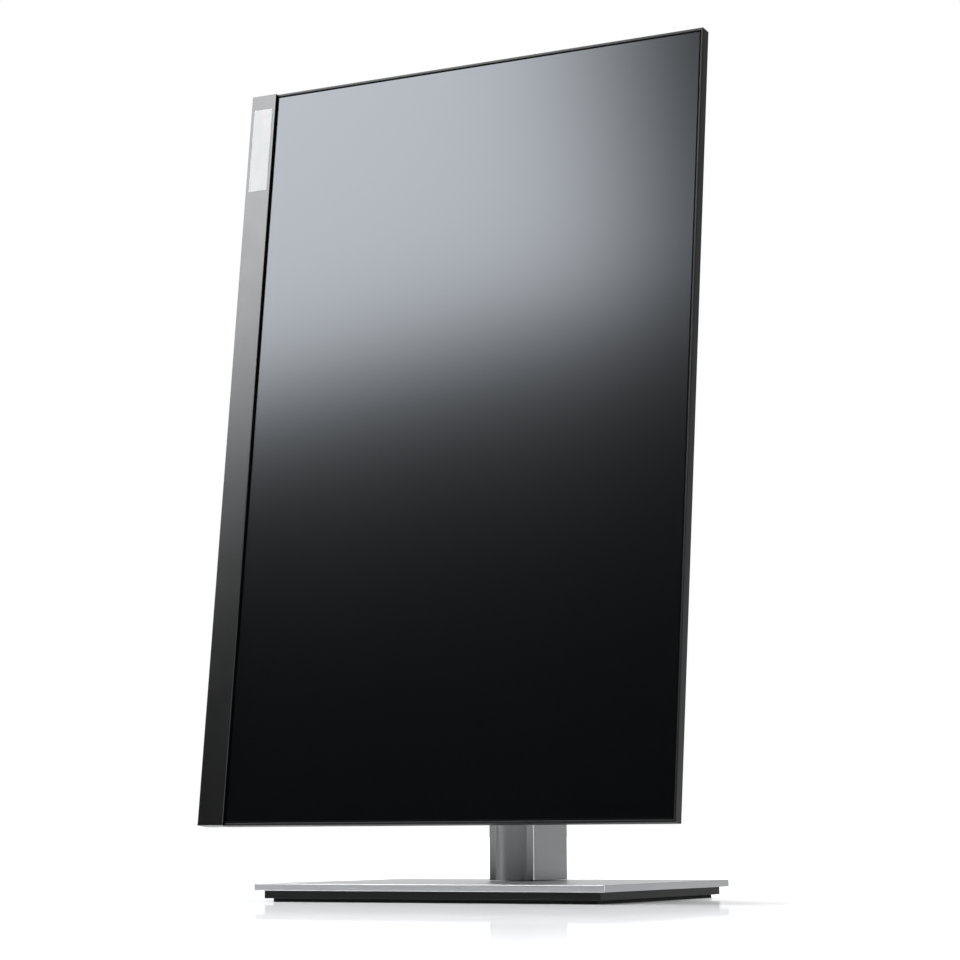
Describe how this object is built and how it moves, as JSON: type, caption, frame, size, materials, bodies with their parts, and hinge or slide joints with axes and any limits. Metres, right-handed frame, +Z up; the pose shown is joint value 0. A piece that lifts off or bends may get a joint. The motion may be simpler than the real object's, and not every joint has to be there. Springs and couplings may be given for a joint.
{
  "type": "computer monitor",
  "caption": "Flat widescreen computer display on a rectangular base, with a stand that lifts, tilts, swivels and turns the screen upright.",
  "frame": {"origin": "on the desk, at the centre of the base's underside", "axes": "+Z up, +Y towards the back of the stand, +X to the right seen from the front; the screen faces -Y"},
  "size_m": [0.3587, 0.2107, 0.5799],
  "materials": {
    "satin_aluminium": "satin",
    "column_aluminium": "satin painted",
    "black_plastic": "satin",
    "bezel_plastic": "satin",
    "dark_steel": "powder coat",
    "zinc_steel": "plated",
    "spring_steel": "bright",
    "brass": "plain",
    "cast_alloy": "die cast",
    "rubber": "matte",
    "frame_plastic": "fine texture",
    "seal": "matte",
    "screen_glass": "anti-glare",
    "white_sheet": "satin",
    "light_guide": "polished",
    "circuit_board": "solder resist",
    "power_board": "solder resist",
    "blue_plastic": "satin",
    "nylon": "satin",
    "ribbon": "film",
    "label": "paper",
    "button_plastic": "satin"
  },
  "bodies": {
    "base": {"base_plate": "satin_aluminium", "base_weight": "dark_steel", "foot_mat": "rubber", "base_screws": "zinc_steel", "swivel_disc": "nylon"},
    "column": {"column_extrusion": "column_aluminium", "column_cap": "black_plastic", "channel_cover": "column_aluminium", "cable_grommet": "black_plastic", "column_foot": "cast_alloy", "spindle": "zinc_steel", "swivel_nut": "zinc_steel", "spring_bracket": "zinc_steel"},
    "lift": {"carriage": "cast_alloy", "slide_pads": "nylon", "channel_shutter": "black_plastic", "hinge_yoke": "cast_alloy", "yoke_screws": "zinc_steel", "hinge_pin": "zinc_steel", "tilt_washers": "brass", "lift_spring": "spring_steel"},
    "drum": {"spring_drum": "nylon"},
    "tilt": {"pivot_housing": "cast_alloy", "hinge_cover": "black_plastic"},
    "head": {"mounting_plate": "zinc_steel", "pivot_shaft": "zinc_steel", "pivot_stop_pin": "zinc_steel", "pivot_nut": "brass", "chin_bar": "bezel_plastic", "front_frame": "frame_plastic", "screen_gasket": "seal", "lcd_glass": "screen_glass", "diffuser_stack": "white_sheet", "light_guide": "light_guide", "led_strip": "circuit_board", "reflector_sheet": "white_sheet", "panel_tray": "zinc_steel", "rear_cover": "black_plastic", "chassis_plate": "zinc_steel", "board_screws": "zinc_steel", "vesa_bracket": "zinc_steel", "main_board": "circuit_board", "power_board": "power_board", "displayport_port": "zinc_steel", "hdmi_port": "zinc_steel", "vga_port": "blue_plastic", "usb_b_port": "zinc_steel", "usb_a_ports": "zinc_steel", "power_inlet": "black_plastic", "lock_plate": "zinc_steel", "button_board": "circuit_board", "button_cable": "ribbon", "panel_cable": "ribbon", "blank_label": "label"},
    "osd_button_1": {"osd_button_1": "button_plastic"},
    "osd_button_2": {"osd_button_2": "button_plastic"},
    "osd_button_3": {"osd_button_3": "button_plastic"},
    "osd_button_4": {"osd_button_4": "button_plastic"},
    "power_button": {"power_button": "button_plastic"},
    "release_latch": {"release_latch": "button_plastic"}
  },
  "joints": [
    {"name": "swivel", "type": "hinge", "parent": "base", "child": "column", "pos_m": [0, 0.05075, 0], "axis": [0, 0, 1], "range_deg": [-45, 45]},
    {"name": "height", "type": "slide", "parent": "column", "child": "lift", "axis": [0, 0, 1], "range_m": [-0.036, 0.06], "deforming": ["lift_spring"]},
    {"name": "spring_drum_turn", "type": "hinge", "parent": "column", "child": "drum", "pos_m": [0, 0.0653, 0.38], "axis": [1, 0, 0], "range_deg": [-330, 550]},
    {"name": "tilt", "type": "hinge", "parent": "lift", "child": "tilt", "pos_m": [0, -0.00653, 0.30702], "axis": [-1, 0, 0], "range_deg": [-12, 16]},
    {"name": "pivot", "type": "hinge", "parent": "tilt", "child": "head", "pos_m": [0, -0.079, 0.3158], "axis": [0, 0.9927, -0.1203], "range_deg": [-90, 0]},
    {"name": "osd_button_1_press", "type": "slide", "parent": "head", "child": "osd_button_1", "axis": [1, 0, 0], "range_m": [0, 0.0008], "stiffness_N_per_m": 400, "springref_m": -0.0012},
    {"name": "osd_button_2_press", "type": "slide", "parent": "head", "child": "osd_button_2", "axis": [1, 0, 0], "range_m": [0, 0.0008], "stiffness_N_per_m": 400, "springref_m": -0.0012},
    {"name": "osd_button_3_press", "type": "slide", "parent": "head", "child": "osd_button_3", "axis": [1, 0, 0], "range_m": [0, 0.0008], "stiffness_N_per_m": 400, "springref_m": -0.0012},
    {"name": "osd_button_4_press", "type": "slide", "parent": "head", "child": "osd_button_4", "axis": [1, 0, 0], "range_m": [0, 0.0008], "stiffness_N_per_m": 400, "springref_m": -0.0012},
    {"name": "power_button_press", "type": "slide", "parent": "head", "child": "power_button", "axis": [1, 0, 0], "range_m": [0, 0.0008], "stiffness_N_per_m": 400, "springref_m": -0.0012},
    {"name": "release_latch_slide", "type": "slide", "parent": "head", "child": "release_latch", "axis": [-1, 0, 0], "range_m": [0, 0.0036], "stiffness_N_per_m": 300, "springref_m": -0.004}
  ],
  "couplings": [
    {"joint": "spring_drum_turn", "follows": "height", "rad_per_m": 158.73}
  ]
}
